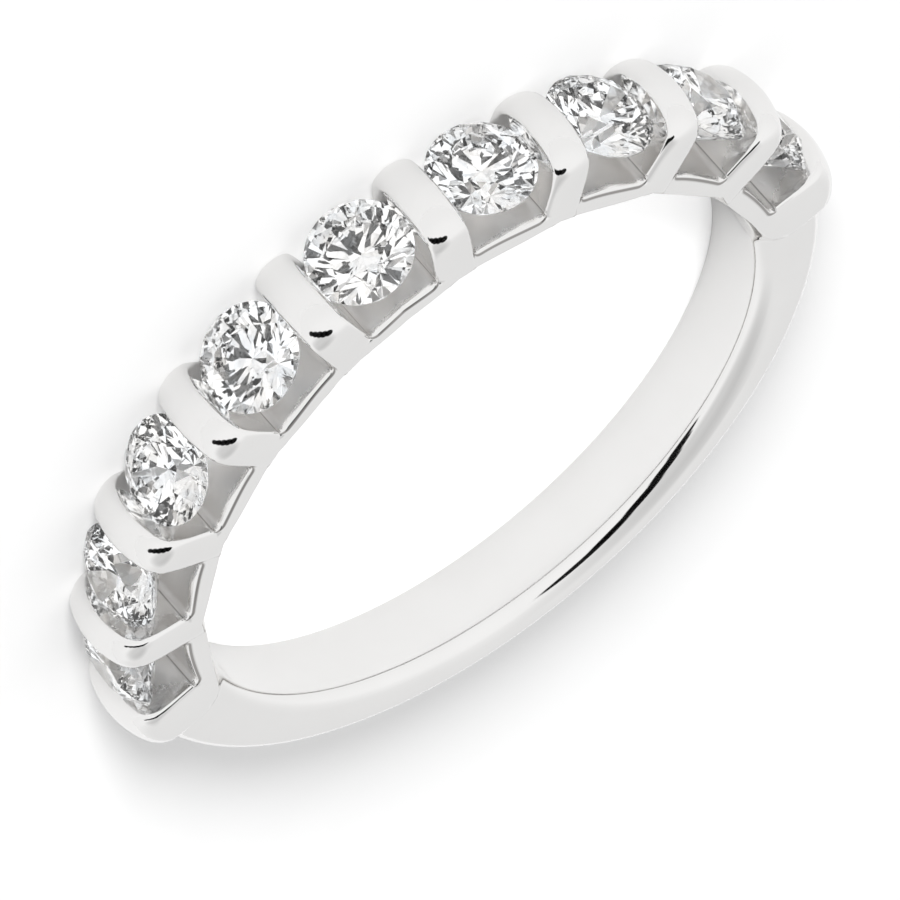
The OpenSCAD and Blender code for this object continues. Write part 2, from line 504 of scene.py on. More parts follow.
    def build(self) -> bpy.types.Object:
        """Builds the band's surface, closed round the finger and round each cut.

        Returns:
            The surface, with masks of its recesses and creases.
        """
        grid = self.points()
        rows, columns = grid.shape[:2]
        k = np.arange(rows)[:, None]
        j = np.arange(columns)[None, :]
        k2, j2 = (k + 1) % rows, (j + 1) % columns
        around = [k * columns + j, k * columns + j2, k2 * columns + j2, k2 * columns + j]
        faces = np.stack(around, axis=-1).reshape(-1, 4)
        points = grid.reshape(-1, 3)
        a, b, c = (points[faces[:, n]] for n in (0, 1, 2))
        if np.einsum("ij,ij->i", a, np.cross(b, c)).sum() < 0:
            faces = faces[:, ::-1]
        masks = {"recess": self.recess(columns), "painted_shade_mask": self.painted_shade_lines(columns)}
        made = new_mesh("band_surface", points, faces, True, masks)
        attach(made, "root")
        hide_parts("band")
        return made

    def dress(self, made: bpy.types.Object, metal: "PolishedMetal") -> None:
        """Gives the surface its finish."""
        made.data.materials.append(metal.material())


class Cuts:
    """Outlines of the band's cuts, in polar form about the heart, a point inside the metal.

    In every direction the distance to the surface is the larger one of bar and rail, or of bar
    and shank, cut back by the bore and by the filed or rounded inner edge. Heights y are counted
    from the middle of the ring, and every array has one line a cut.
    """

    def __init__(self, band: Band, rows: list[Row]) -> None:
        """Works out the heights and arcs that the outlines share.

        Args:
            band: Sizes of the band.
            rows: The cuts, in order.
        """
        self.band = band
        self.offset = column(rows, "offset")
        self.lean = column(rows, "lean")
        self.inset = column(rows, "inset")
        self.flank = column(rows, "flank")
        self.plain = column(rows, "plain")
        self.has_bar = column(rows, "has_bar") > 0.5
        self.bore = self.height(band.sizes.bore_radius)
        self.floor = self.height(band.rail_radius) + column(rows, "rise")
        self.rim = self.floor - band.rim_bevel
        self.file_bays(column(rows, "to_stone"), column(rows, "away"))
        self.arch_bars()
        self.round_shank(column(rows, "post"), column(rows, "side"))

    def height(self, radius: Array | float) -> Array:
        """Height y at which each plane meets a radius round the finger.

        It is the larger root of (offset + lean y)^2 + y^2 = radius^2.

        Args:
            radius: The radius.

        Returns:
            The height.
        """
        o, k = self.offset, 1.0 + self.lean**2
        return (-o * self.lean + np.sqrt((o * self.lean) ** 2 - k * (o**2 - radius**2))) / k

    def direction(self, y: Array | float, z: Array | float) -> Array:
        """Polar angle of a point about the heart of the metal."""
        return np.arctan2(z, y - self.band.heart)

    def to_arc(self, phi: Array, arc: Arc) -> Array:
        """Distance from the heart to the far side of an arc."""
        return ray_to_circle(phi, arc.y - self.band.heart, arc.z, arc.radius)

    def file_bays(self, to_stone: Array, away: Array) -> None:
        """Finds where the filed inner edge of each bay meets the bore and the flank.

        It is a slope across the bay: z = filed_from + (d - filed_line) tan(filed_slope), at the
        distance d along the stone's axis.

        Args:
            to_stone: Angle from each cut's post to its stone, in degrees.
            away: 1 on the side of an end wall that faces the shank and 0 elsewhere.
        """
        band = self.band
        turned = np.arctan2(self.offset + self.lean * self.bore, self.bore)
        from_stone = np.radians(to_stone) - np.where(away > 0.5, -1.0, 1.0) * turned
        slope = math.tan(math.radians(band.filed_slope))
        along = band.sizes.bore_radius * np.cos(from_stone)
        self.filed_z = band.filed_from - (band.filed_line - along) * slope
        radius = (band.filed_line + (self.flank - band.filed_from) / slope) / np.cos(from_stone)
        self.filed_y = self.height(radius)

    def arch_bars(self) -> None:
        """Finds the arcs of a bar: the arch over its top and the shoulder that it runs over into."""
        band = self.band
        inner = band.arch_radius - band.shoulder_radius
        shoulder_z = band.bar_length / 2 - band.shoulder_radius
        self.arch_turn = math.asin(shoulder_z / inner)
        self.arch = Arc(band.bar_top - band.arch_radius, 0.0, band.arch_radius)
        shoulder_y = self.arch.y + inner * math.cos(self.arch_turn)
        self.shoulder = Arc(shoulder_y, shoulder_z, band.shoulder_radius)

    def round_shank(self, post: Array, side: Array) -> None:
        """Finds the shank's outside and the two arcs of its inner edge.

        The outside is a circle whose centre lies shank_shift towards the middle stone. A small
        arc leaves the flat inside and runs over into a wider one up to the side.

        Args:
            post: Angle of each cut's post, in degrees.
            side: 1 or -1, the side of the post that the cut is on.
        """
        band = self.band
        shift = band.shank_shift
        angle = np.radians(post) + side * np.arctan2(self.offset, band.row_radius)
        forward = shift * np.cos(angle)
        outside = band.sizes.bore_radius + band.shank_thickness + shift
        out = forward + np.sqrt(forward**2 - shift**2 + outside**2)
        self.out = np.sqrt(out**2 - self.offset**2)
        low = math.radians(band.shank_edge_angle)
        turn = math.radians(band.shank_edge_turn)
        small = band.shank_edge_radius
        half_width = band.shank_cap.half_width
        edge_y = self.bore + small * math.cos(low)
        self.edge = Arc(edge_y, band.shank_flat / 2 - small * math.sin(low), small)
        self.joint_y = self.edge.y - small * math.cos(turn)
        self.joint_z = self.edge.z + small * math.sin(turn)
        wide = (half_width - self.joint_z) / (1.0 - math.sin(turn))
        self.inner_side = Arc(self.joint_y + wide * math.cos(turn), half_width - wide, wide)

    def bar_ends(self, sunk: Array) -> tuple[Array, Array]:
        """Directions in which a bar's arch and its shoulder end.

        Args:
            sunk: Depth of the bar's outline below the one in its middle.

        Returns:
            The two directions.
        """
        arc = self.band.arch_radius - sunk
        arch_y = self.arch.y + arc * math.cos(self.arch_turn)
        top = self.direction(arch_y, arc * math.sin(self.arch_turn))
        return top, self.direction(self.shoulder.y, self.band.bar_length / 2 - sunk)

    def shank_marks(self) -> list[Array]:
        """Lists the directions in which the shank's outline changes.

        Returns:
            The ends of the crown and of its corner, two marks on the way down the side, the
            joint of the two inner arcs, and the end of the small one.
        """
        cap = self.band.shank_cap
        arc_y = self.out - cap.arc + cap.arc * math.cos(cap.turn)
        crown = self.direction(arc_y, cap.arc * math.sin(cap.turn))
        corner = self.direction(self.out - cap.depth, cap.half_width)
        joint = self.direction(self.joint_y, self.joint_z)
        between = [corner + (joint - corner) * part for part in self.band.side_marks]
        return [crown, corner, *between, joint, self.direction(self.bore, self.band.shank_flat / 2)]

    def directions(self) -> Array:
        """Spreads the directions in which every cut is worked out.

        The stretches lie between the marks of the row's outline and the shank's, blended by
        plain. From first_edge on a mark is an edge, and it gets a point close to it on either
        side, which rounds it when it is shaded.

        Returns:
            The directions from the top of the metal to the bore, in radians.
        """
        band = self.band
        row_marks = [
            *self.bar_ends(self.inset),
            self.direction(self.floor, self.flank - band.rim_bevel),
            self.direction(self.rim, self.flank),
            self.direction(self.filed_y, self.flank),
            self.direction(self.bore, self.filed_z),
        ]
        marks = [0.0]
        for in_row, in_shank in zip(row_marks, self.shank_marks()):
            marks.append((1.0 - self.plain) * in_row + self.plain * in_shank)
        marks.append(math.pi)
        gap = band.polish / band.edge_reach
        edges = range(band.first_edge, len(band.steps))
        spread = []
        for n, count in enumerate(band.steps):
            low = marks[n] + (gap if n in edges else 0.0)
            high = marks[n + 1] - (gap if n + 1 in edges else 0.0)
            whole = n + 1 >= band.first_edge
            for f in np.linspace(0.0, 1.0, count + 1)[: None if whole else -1]:
                spread.append(low + (high - low) * f)
        return np.hstack(spread)

    def bar(self, phi: Array) -> Array:
        """Distance to a bar, whose end faces are flatter than its crown.

        Args:
            phi: Direction of each ray.

        Returns:
            The distance along each ray.
        """
        band = self.band
        flat = smooth_step(phi, band.end_face_low, band.end_face_high)
        sunk = self.inset * (1.0 - band.end_face_flatness * flat)
        top, bottom = self.bar_ends(sunk)
        arch = self.to_arc(phi, Arc(self.arch.y, self.arch.z, self.arch.radius - sunk))
        shoulder = Arc(self.shoulder.y, self.shoulder.z, self.shoulder.radius - sunk)
        end_face = ray_to_side(phi, band.bar_length / 2 - sunk)
        lower = np.where(phi < bottom, self.to_arc(phi, shoulder), end_face)
        return np.where(phi < top, arch, lower)

    def rail(self, phi: Array) -> Array:
        """Distance to a bay's floor, to the bevel of its rim and to the rail's flank.

        Args:
            phi: Direction of each ray.

        Returns:
            The least of the three along each ray.
        """
        heart = self.band.heart
        floor = ray_to_line(phi, self.floor - heart, 0.0, 1.0, 0.0)
        bevel = ray_to_line(phi, self.rim - heart, self.flank, math.sqrt(0.5), math.sqrt(0.5))
        return np.minimum(floor, np.minimum(bevel, ray_to_line(phi, 0.0, self.flank, 0.0, 1.0)))

    def shank(self, phi: Array) -> Array:
        """Distance to the shank's crown, to its corner and to its side.

        Args:
            phi: Direction of each ray.

        Returns:
            The distance along each ray.
        """
        cap = self.band.shank_cap
        crown_end, corner_end = self.shank_marks()[:2]
        crown = self.to_arc(phi, Arc(self.out - cap.arc, 0.0, cap.arc))
        corner = self.to_arc(phi, Arc(self.out - cap.depth, cap.corner_y, cap.corner))
        lower = np.where(phi < corner_end, corner, ray_to_side(phi, cap.half_width))
        return np.where(phi < crown_end, crown, lower)

    def filed(self, phi: Array) -> Array:
        """Distance to the filed inner edge of a bay."""
        normal_y, normal_z = self.filed_z - self.flank, self.filed_y - self.bore
        return ray_to_line(phi, self.bore - self.band.heart, self.filed_z, normal_y, normal_z)

    def rounded(self, phi: Array) -> Array:
        """Distance to the rounded inner edge of the shank.

        Args:
            phi: Direction of each ray.

        Returns:
            The distance along each ray, or FAR where the ray meets the flat inside.
        """
        half_width = self.band.shank_cap.half_width
        *_, joint, flat = self.shank_marks()
        side_end = self.direction(self.inner_side.y, half_width)
        edge = np.where(phi < joint, self.to_arc(phi, self.inner_side), self.to_arc(phi, self.edge))
        edge = np.where(phi < side_end, ray_to_side(phi, half_width), edge)
        return np.where(phi > flat, FAR, edge)

    def outlines(self) -> tuple[Array, Array]:
        """Works out every cut as half a loop, from the top of the metal to the bore.

        Returns:
            Two arrays of one line a cut: the distance y from the middle of the ring and the
            height z along the finger.
        """
        band = self.band
        phi = self.directions()
        outer = (1.0 - self.plain) * self.rail(phi) + self.plain * self.shank(phi)
        outer = np.where(self.has_bar, soft_max(outer, self.bar(phi), band.bar_blend), outer)
        inner = (1.0 - self.plain) * self.filed(phi) + self.plain * self.rounded(phi)
        bore = ray_to_line(phi, self.bore - band.heart, 0.0, -1.0, 0.0)
        distance = np.minimum(np.minimum(outer, inner), bore)
        return band.heart + distance * np.cos(phi), distance * np.sin(phi)


@dataclass
class CutStone:
    """Round brilliant: 57 facets, each made by one flat cut, and a girdle of narrow flats.

    table_part and lower_part are of the radius, star_part is of the way from the table's side
    to the girdle, and the block that a stone is cut from is block_size diameters wide. A facet
    whose normal rises less than girdle_tilt belongs to the girdle. Spins and leans are in
    degrees, one for each stone.
    """

    sizes: RingSizes = field(default_factory=RingSizes)
    table_part: float = 0.57
    crown_angle: float = 34.5
    pavilion_angle: float = 40.8
    girdle_height: float = 0.07
    star_part: float = 0.5
    lower_part: float = 0.23
    fold: int = 8
    girdle_flats: int = 64
    girdle_tilt: float = 0.05
    block_size: float = 4.0
    cut_reach: float = 1e-7
    merge_reach: float = 1e-5
    merge_angle: float = 0.2
    spins: tuple[float, ...] = (11.0, 37.0, 4.0, 21.0, 8.0, 31.0, 17.0, 42.0, 26.0)
    leans: tuple[float, ...] = (0.6, -0.8, 0.5, 0.9, -0.4, 0.7, -0.9, 0.4, -0.6)

    def cuts(self) -> list[tuple[Array, Array]]:
        """Lists the planes of the stone, table up.

        Returns:
            A point and an outward normal for each plane.
        """
        turn = 360.0 / self.fold
        half_turn = turn / 2
        radius = self.sizes.stone_diameter / 2
        half = self.girdle_height / 2
        crown = radius * (1 - self.table_part) * math.tan(math.radians(self.crown_angle))
        pavilion = radius * math.tan(math.radians(self.pavilion_angle))
        table = radius * self.table_part
        inner = table * math.cos(math.radians(half_turn))
        star_x = inner + self.star_part * (radius - inner)
        star_z = half + crown * (radius - star_x) / (radius - table)
        low_r = self.lower_part * radius
        low_z = -half - pavilion * (1 - low_r * math.cos(math.radians(half_turn)) / radius)

        def at(r: float, degrees: float, z: float) -> Array:
            """Point at a radius, an angle and a height."""
            a = math.radians(degrees)
            return np.array([r * math.cos(a), r * math.sin(a), z])

        def through(p: Array, q: Array, s: Array) -> tuple[Array, Array]:
            """Plane through three points.

            Args:
                p: First point.
                q: Second point.
                s: Third point.

            Returns:
                The first point, and the normal that looks away from the stone's middle.
            """
            normal = np.cross(q - p, s - p)
            normal /= np.linalg.norm(normal)
            return p, normal if normal @ p > 0 else -normal

        planes = []
        flat_r = radius * math.cos(math.pi / self.girdle_flats)
        for n in range(self.girdle_flats):
            a = 360.0 / self.girdle_flats * (n + 0.5)
            planes.append((at(flat_r, a, 0.0), at(1.0, a, 0.0)))
        planes.append((at(0.0, 0.0, half + crown), np.array([0.0, 0.0, 1.0])))
        star_r = star_x / math.cos(math.radians(half_turn))
        culet = at(0.0, 0.0, -half - pavilion)
        for n in range(self.fold):
            a = turn * n
            between = a + half_turn
            tip = at(table, a, half + crown)
            star = at(star_r, between, star_z)
            low = at(low_r, between, low_z)
            planes.append(through(tip, at(star_r, a - half_turn, star_z), star))
            planes.append(through(tip, at(table, a + turn, half + crown), star))
            planes.append(through(star, at(radius, a, half), at(radius, between, half)))
            planes.append(through(star, at(radius, a + turn, half), at(radius, between, half)))
            planes.append(through(culet, at(low_r, a - half_turn, low_z), low))
            planes.append(through(low, at(radius, a, -half), at(radius, between, -half)))
            planes.append(through(low, at(radius, a + turn, -half), at(radius, between, -half)))
        return planes

    def cut(self) -> tuple[Array, list[list[int]], Array]:
        """Cuts the stone out of a block, one plane after another.

        Returns:
            Its corner points in millimetres, its facets, and for each facet 1 on the girdle
            and 0 elsewhere.
        """
        block = bmesh.new()
        bmesh.ops.create_cube(block, size=self.block_size * self.sizes.stone_diameter)
        for point, normal in self.cuts():
            bmesh.ops.bisect_plane(
                block, geom=[*block.verts, *block.edges, *block.faces], dist=self.cut_reach,
                plane_co=Vector(point), plane_no=Vector(normal), clear_outer=True,
            )
            open_edges = [e for e in block.edges if e.is_boundary]
            if open_edges:
                bmesh.ops.holes_fill(block, edges=open_edges, sides=0)
        bmesh.ops.remove_doubles(block, verts=block.verts, dist=self.merge_reach)
        bmesh.ops.dissolve_limit(
            block, angle_limit=math.radians(self.merge_angle), verts=block.verts, edges=block.edges
        )
        bmesh.ops.recalc_face_normals(block, faces=block.faces)
        block.verts.index_update()
        points = np.array([v.co[:] for v in block.verts])
        facets = [[v.index for v in f.verts] for f in block.faces]
        girdle = np.array([int(abs(f.normal.z) < self.girdle_tilt) for f in block.faces])
        block.free()
        return points, facets, girdle

    def place(self, points: Array, number: int) -> Array:
        """Turns and moves the cut stone to its seat.

        The stone is spun about its axis, leant a little, laid with its table outwards at the
        girdle radius, and turned round the finger to its angle.

        Args:
            points: Corner points of the stone, table up.
            number: Number of the stone, counted from the +X end.

        Returns:
            The points in the ring's frame, in millimetres.
        """
        spin = Matrix.Rotation(math.radians(self.spins[number - 1]), 4, "Z")
        lean = Matrix.Rotation(math.radians(self.leans[number - 1]), 4, "X")
        lay = Matrix.Rotation(math.radians(90.0), 4, "X")
        out = Matrix.Translation((0.0, -self.sizes.girdle_radius, 0.0))
        turn = Matrix.Rotation(math.radians(self.sizes.stone_angle(number)), 4, "Z")
        whole = np.array(turn @ out @ lay @ lean @ spin)
        return points @ whole[:3, :3].T + whole[:3, 3]

    def build(self, clear: bpy.types.Material, ground: bpy.types.Material) -> list[bpy.types.Object]:
        """Builds and dresses the stones, each one a piece of its own.

        Args:
            clear: Finish of the facets.
            ground: Finish of the girdle.

        Returns:
            The stones, from the +X end.
        """
        points, facets, girdle = self.cut()
        stones = []
        for number in range(1, self.sizes.stone_count + 1):
            made = new_mesh(f"cut_stone_{number}", self.place(points, number), facets, False)
            made.data.materials.append(clear)
            made.data.materials.append(ground)
            made.data.polygons.foreach_set("material_index", girdle.tolist())
            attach(made, "root")
            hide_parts(f"stone_{number}")
            stones.append(made)
        return stones


def opaque(colour: Triple) -> tuple[float, float, float, float]:
    """Returns a colour with full cover."""
    return (*colour, 1.0)


class Tree:
    """Short way to add nodes to a node tree and to join them."""

    def __init__(self, tree: bpy.types.NodeTree) -> None:
        """Keeps the tree that nodes are added to."""
        self.tree = tree

    def feed(self, end: bpy.types.NodeSocket, value: object) -> None:
        """Gives an input its value.

        Args:
            end: The input.
            value: Output that is linked to it, or a plain value.
        """
        if isinstance(value, bpy.types.NodeSocket):
            self.tree.links.new(value, end)
        else:
            end.default_value = value

    def add(
        self, kind: str, inputs: dict[str | int, object] | None = None, **settings: object
    ) -> bpy.types.Node:
        """Adds a node.

        Args:
            kind: Type of the node.
            inputs: Outputs or plain values for its inputs, by the input's name or number.
            settings: Values of its attributes, by their names.

        Returns:
            The node.
        """
        node = self.tree.nodes.new(kind)
        for name, value in settings.items():
            setattr(node, name, value)
        for key, value in (inputs or {}).items():
            self.feed(node.inputs[key], value)
        return node

    def math(self, operation: str, *values: object) -> bpy.types.NodeSocket:
        """Adds an operation on numbers and returns its result."""
        return self.add("ShaderNodeMath", dict(enumerate(values)), operation=operation).outputs[0]

    def mix(self, part: bpy.types.NodeSocket, first: object, second: object) -> bpy.types.NodeSocket:
        """Adds a mix of two colours.

        Args:
            part: 0 for the first colour and 1 for the second.
            first: First colour.
            second: Second colour.

        Returns:
            The mixed colour.
        """
        inputs = {"Factor": part, 6: first, 7: second}
        return self.add("ShaderNodeMix", inputs, data_type="RGBA").outputs[2]

    def remap(
        self,
        value: bpy.types.NodeSocket,
        given: tuple[float, float],
        wanted: tuple[float, float],
        change: Change = Change.SOFT,
    ) -> bpy.types.NodeSocket:
        """Adds a change of a number from one span to another, held at the ends.

        Args:
            value: The number.
            given: Both ends of the span that it lies in.
            wanted: What comes out at those ends.
            change: How it runs from one end to the other.

        Returns:
            The new number.
        """
        names = ("Value", "From Min", "From Max", "To Min", "To Max")
        inputs = dict(zip(names, (value, *given, *wanted)))
        node = self.add("ShaderNodeMapRange", inputs, interpolation_type=change.value)
        return node.outputs[0]

    def noise(self, place: object, scale: object, detail: float) -> bpy.types.NodeSocket:
        """Adds a soft random pattern.

        Args:
            place: Place that it is looked up at.
            scale: Its scale.
            detail: Number of finer layers on top of it.

        Returns:
            A number between 0 and 1.
        """
        inputs = {"Vector": place, "Scale": scale, "Detail": detail}
        return self.add("ShaderNodeTexNoise", inputs).outputs["Fac"]

    def ramp(
        self, value: bpy.types.NodeSocket, stops: Sequence[tuple[float, Triple]]
    ) -> bpy.types.NodeSocket:
        """Adds a row of colours that a number picks from.

        Args:
            value: The number, between 0 and 1.
            stops: Place and colour of each stop, in rising order.

        Returns:
            The colour.
        """
        node = self.add("ShaderNodeValToRGB", {"Fac": value})
        elements = node.color_ramp.elements
        while len(elements) < len(stops):
            elements.new(1.0)
        for element, (position, colour) in zip(elements, stops):
            element.position = position
            element.color = opaque(colour)
        return node.outputs["Color"]

    def place(self) -> bpy.types.NodeSocket:
        """Adds the point's place on the object, in metres."""
        return self.add("ShaderNodeTexCoord").outputs["Object"]

    def place_mm(self) -> bpy.types.NodeSocket:
        """Adds the point's place on the object, in millimetres."""
        inputs = {"Vector": self.place(), "Scale": (1.0 / MM,) * 3}
        return self.add("ShaderNodeMapping", inputs).outputs[0]


def new_material(finish: Finish) -> tuple[bpy.types.Material, Tree]:
    """Starts a material.

    Args:
        finish: Name of the finish.

    Returns:
        The material and its empty tree.
    """
    material = bpy.data.materials.new(finish.value)
    material.use_nodes = True
    material.node_tree.nodes.clear()
    return material, Tree(material.node_tree)


@dataclass(frozen=True)
class PolishingMarks:
    """What a polishing wheel leaves: fine crossed lines and a soft haze."""

    line_scale: float = 9.0
    line_stretch: float = 14.0
    line_turns: tuple[float, float] = (0.35, -0.8)
    line_tilt: float = 0.6
    line_detail: float = 3.0
    line_gain: float = 2.0
    haze_scale: float = 0.6
    haze_detail: float = 2.0

    def group(self) -> bpy.types.NodeTree:
        """Makes the node group. The lines are the product of two patterns stretched two ways.

        Returns:
            The group. Its inputs are Line Scale, Line Stretch and Haze Scale, and its outputs
            Lines and Haze, both from 0 to about 1.
        """
        group = bpy.data.node_groups.new("polishing_marks", "ShaderNodeTree")
        values = (self.line_scale, self.line_stretch, self.haze_scale)
        for name, value in zip(("Line Scale", "Line Stretch", "Haze Scale"), values):
            socket = group.interface.new_socket(name, in_out="INPUT", socket_type="NodeSocketFloat")
            socket.default_value = value
        for name in ("Lines", "Haze"):
            group.interface.new_socket(name, in_out="OUTPUT", socket_type="NodeSocketFloat")
        tree = Tree(group)
        given = tree.add("NodeGroupInput").outputs
        stretched = tree.math("MULTIPLY", given["Line Stretch"], 1.0 / MM)
        scale = tree.add("ShaderNodeCombineXYZ", {"X": 1.0 / MM, "Y": stretched, "Z": 1.0 / MM})
        layers = []
        for turn in self.line_turns:
            inputs = {
                "Vector": tree.place(),
                "Rotation": (turn, turn * self.line_tilt, turn),
                "Scale": scale.outputs[0],
            }
            place = tree.add("ShaderNodeMapping", inputs).outputs[0]
            layers.append(tree.noise(place, given["Line Scale"], self.line_detail))
        lines = tree.math("MULTIPLY", tree.math("MULTIPLY", *layers), self.line_gain)
        haze = tree.noise(tree.place_mm(), given["Haze Scale"], self.haze_detail)
        tree.add("NodeGroupOutput", {"Lines": lines, "Haze": haze})
        return group


@dataclass(frozen=True)
class PolishedMetal:
    """White gold or platinum, polished on the wheel, with fine lines and a little haze."""

    marks: PolishingMarks = PolishingMarks()
    colour: Triple = (0.885, 0.88, 0.873)
    shade: Triple = (0.85, 0.843, 0.835)
    lines_low: float = 0.3
    lines_high: float = 0.75
    roughness_low: float = 0.035
    roughness_high: float = 0.1
    line_depth: float = 0.00035
    bump_strength: float = 0.12
    recess_painted_light_colour: Triple = (0.96, 0.945, 0.93)
    recess_roughness: float = 0.45
    painted_shade_colour: Triple = (0.2, 0.19, 0.18)
    painted_shade_strength: float = 0.8
    painted_shade_sharpness: float = 3.0

    def material(self) -> bpy.types.Material:
        """Makes the material.

        The haze varies the colour, and the lines vary the roughness and make a faint bump. The
        recesses are satin and painted paler, which is painted light, and painted shade darkens
        the foot of each bar and the rim of each bay, by its mask to the power of the sharpness.

        Returns:
            The material.
        """
        made, tree = new_material(Finish.POLISHED)
        marks = tree.add("ShaderNodeGroup", node_tree=self.marks.group())
        recess = tree.add("ShaderNodeAttribute", attribute_name="recess").outputs["Fac"]
        painted_shade_mask = tree.add("ShaderNodeAttribute", attribute_name="painted_shade_mask").outputs["Fac"]
        colour = tree.mix(marks.outputs["Haze"], opaque(self.colour), opaque(self.shade))
        # painted light: the recesses are painted paler than the metal, which lifts their shade;
        # their satin roughness is real
        colour = tree.mix(recess, colour, opaque(self.recess_painted_light_colour))
        # painted shade: a dark colour laid on at the foot of each bar and under each bay's rim
        line = tree.math("POWER", painted_shade_mask, self.painted_shade_sharpness)
        line = tree.math("MULTIPLY", line, self.painted_shade_strength)
        colour = tree.mix(line, colour, opaque(self.painted_shade_colour))
        lines = marks.outputs["Lines"]
        ends = (self.roughness_low, self.roughness_high)
        rough = tree.remap(lines, (self.lines_low, self.lines_high), ends, Change.EVEN)
        satin = tree.math("MULTIPLY", recess, self.recess_roughness)
        depth = {"Strength": self.bump_strength, "Distance": self.line_depth * MM, "Height": lines}
        inputs = {
            "Metallic": 1.0,
            "Base Color": colour,
            "Roughness": tree.math("ADD", rough, satin),
            "Normal": tree.add("ShaderNodeBump", depth).outputs[0],
        }
        shader = tree.add("ShaderNodeBsdfPrincipled", inputs)
        tree.add("ShaderNodeOutputMaterial", {"Surface": shader.outputs[0]})
        return made


@dataclass(frozen=True)
class ClearStone:
    """Colourless cut stone, with painted fire: faint cool and warm tints for light split into
    colours.
    """

    index: float = 2.42
    cool: Triple = (0.93, 0.965, 1.0)
    plain: Triple = (1.0, 1.0, 1.0)
    warm: Triple = (1.0, 0.985, 0.96)
    cool_place: float = 0.38
    plain_place: float = 0.5
    warm_place: float = 0.62
    painted_fire_scale: float = 1.6
    painted_fire_detail: float = 1.0
    outer_mirror: float = 0.4
    ground: bool = False
    ground_roughness: float = 0.22

    def material(self) -> bpy.types.Material:
        """Makes the material of the facets, or of the ground girdle.

        The outer side of a facet mirrors less than the inner side, so that dark facets stay dark
        between white walls, as in a lit photograph of a cleaned stone.

        Returns:
            The material.
        """
        made, tree = new_material(Finish.GIRDLE if self.ground else Finish.CLEAR)
        # painted fire: a pattern of cool and warm tints in the stone's colour stands in for split
        # light
        painted_fire = tree.noise(tree.place_mm(), self.painted_fire_scale, self.painted_fire_detail)
        stops = [
            (self.cool_place, self.cool),
            (self.plain_place, self.plain),
            (self.warm_place, self.warm),
        ]
        inner = tree.add("ShaderNodeNewGeometry").outputs["Backfacing"]
        outer = opaque((self.outer_mirror,) * 3)
        inputs = {
            "Transmission Weight": 1.0,
            "IOR": self.index,
            "Roughness": self.ground_roughness if self.ground else 0.0,
            "Base Color": tree.ramp(painted_fire, stops),
            "Specular Tint": tree.mix(inner, outer, opaque(self.plain)),
        }
        shader = tree.add("ShaderNodeBsdfPrincipled", inputs)
        tree.add("ShaderNodeOutputMaterial", {"Surface": shader.outputs[0]})
        return made


@dataclass(frozen=True)
class PalePaper:
    """Pale floor that glows a little for the camera, more inside the ring than around it."""

    dark: Triple = (0.71, 0.71, 0.71)
    light: Triple = (0.73, 0.73, 0.73)
    grain: float = 0.4
    grain_detail: float = 2.0
    roughness: float = 0.9
    gloss: float = 0.1
    hole_glow: float = 0.44
    floor_glow: float = 0.07
    glow_inner: float = 8.6
    glow_outer: float = 11.0

    def material(self) -> bpy.types.Material:
        """Makes the material. Only the camera sees the glow, so the metal doesn't mirror it.

        Returns:
            The material.
        """
        made, tree = new_material(Finish.PAPER)
        grain = tree.noise(tree.place(), self.grain / MM, self.grain_detail)
        inputs = {
            "Roughness": self.roughness,
            "Specular IOR Level": self.gloss,
            "Base Color": tree.ramp(grain, [(0.0, self.dark), (1.0, self.light)]),
        }
        shader = tree.add("ShaderNodeBsdfPrincipled", inputs)
        # painted light: the glow is stronger inside the ring, which hides the ring's shadow on the
        # floor there
        reach = tree.add("ShaderNodeVectorMath", {0: tree.place()}, operation="LENGTH")
        span = (self.glow_inner * MM, self.glow_outer * MM)
        glow = tree.remap(reach.outputs["Value"], span, (self.hole_glow, self.floor_glow))
        seen = tree.add("ShaderNodeLightPath").outputs["Is Camera Ray"]
        glow = tree.add("ShaderNodeEmission", {"Strength": tree.math("MULTIPLY", seen, glow)})
        both = tree.add("ShaderNodeAddShader", {0: shader.outputs[0], 1: glow.outputs[0]})
        tree.add("ShaderNodeOutputMaterial", {"Surface": both.outputs[0]})
        return made


def towards(azimuth: float, elevation: float) -> Vector:
    """Direction from the ring; azimuth 0 is -Y, 90 is +X, and elevation is above the floor."""
    a, e = math.radians(azimuth), math.radians(elevation)
    return Vector((math.sin(a) * math.cos(e), -math.cos(a) * math.cos(e), math.sin(e)))


@dataclass(frozen=True)
class SoftPatch:
    """A round patch of the studio's walls that is darker than the rest, with angles in degrees."""

    azimuth: float
    elevation: float
    radius: float
    softness: float
    light: float


